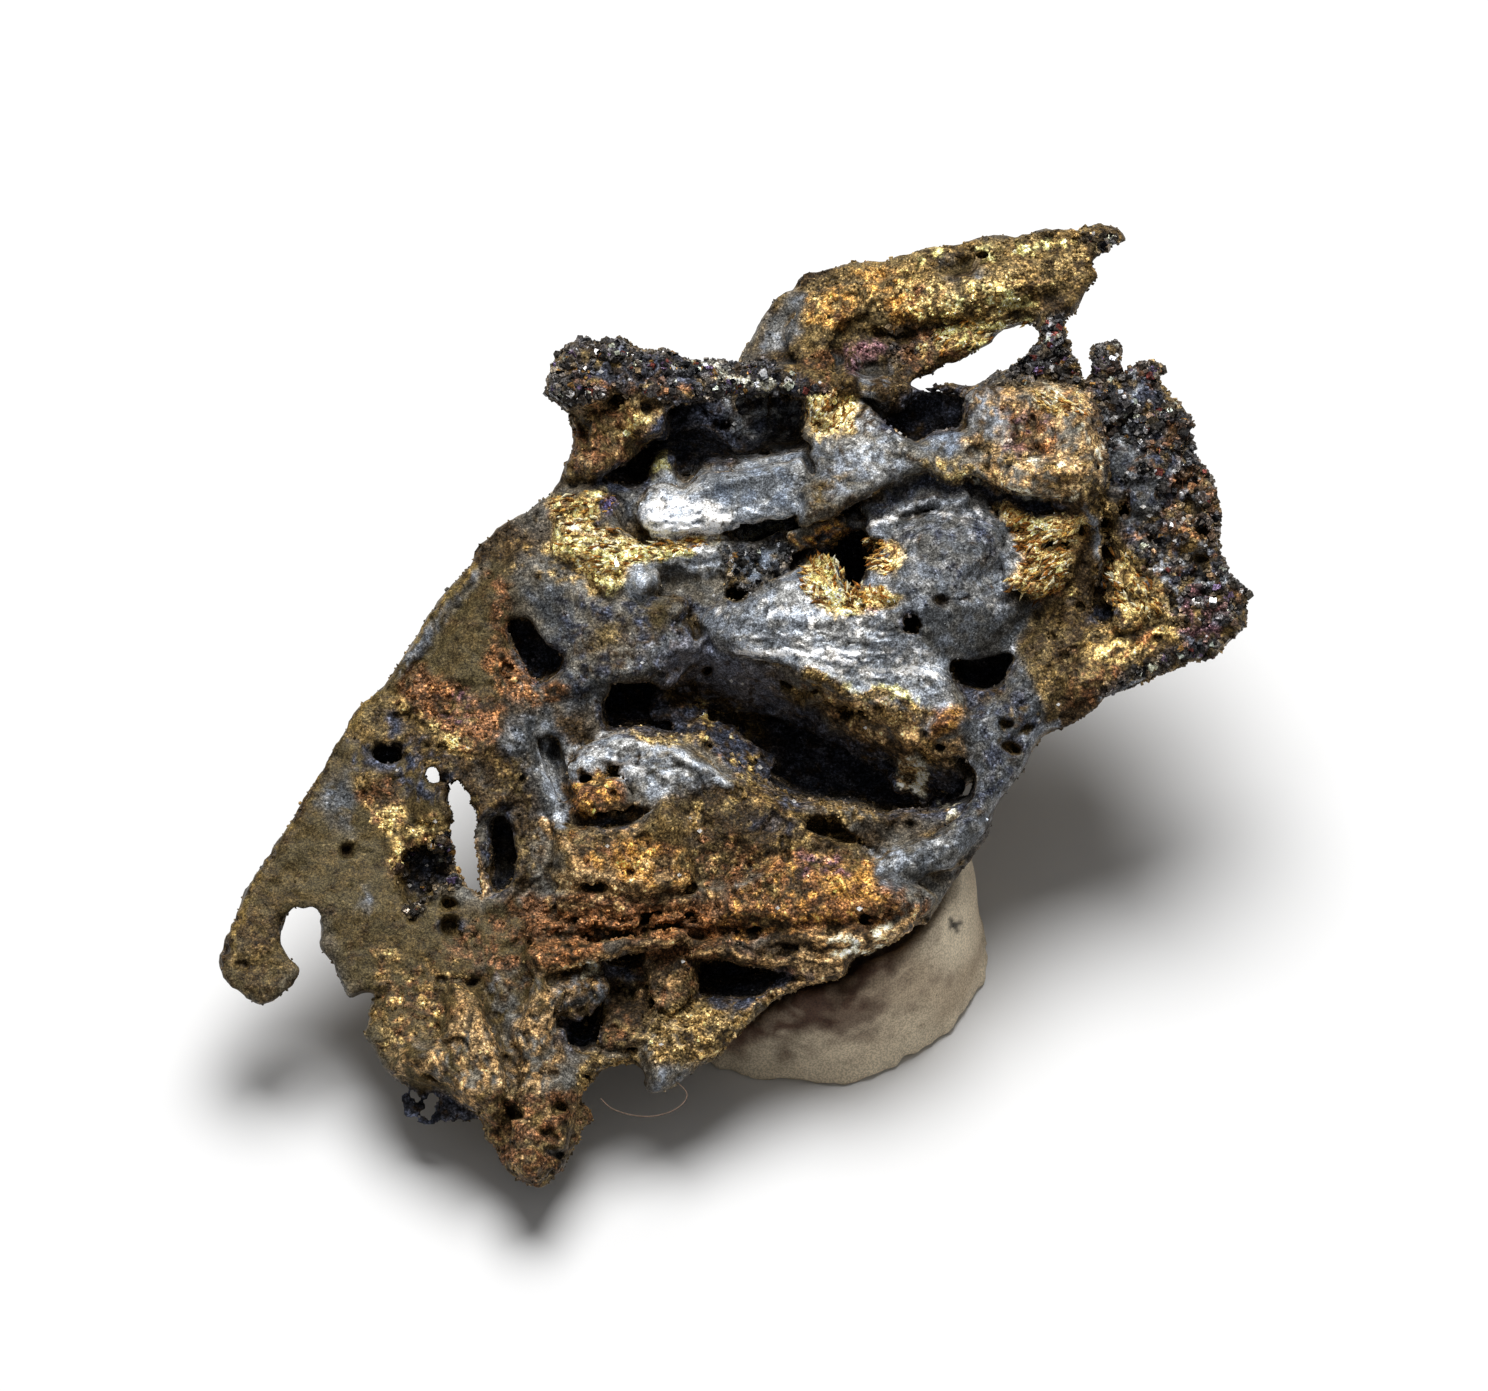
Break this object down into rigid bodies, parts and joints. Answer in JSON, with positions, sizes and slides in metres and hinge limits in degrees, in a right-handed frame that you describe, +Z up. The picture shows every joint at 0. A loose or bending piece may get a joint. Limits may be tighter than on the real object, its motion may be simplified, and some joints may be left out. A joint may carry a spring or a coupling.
{
  "type": "pyrite pseudomorph",
  "caption": "Thin tarnished pyrite crust of overlapping blades, ledges and pits, leaning on a small lump of pale putty.",
  "frame": {"origin": "under the middle of the whole thing, on the surface it rests on", "axes": "+Z up, +X to the right of the crust's face, -Y towards the viewer that the face leans to"},
  "size_m": [0.0412, 0.04, 0.0182],
  "materials": {
    "pyrite": "tarnished metallic, gold to steel grey",
    "putty": "matte, dusty"
  },
  "bodies": {
    "root": {"pyrite_crust": "pyrite", "putty_rest": "putty"}
  },
  "joints": []
}
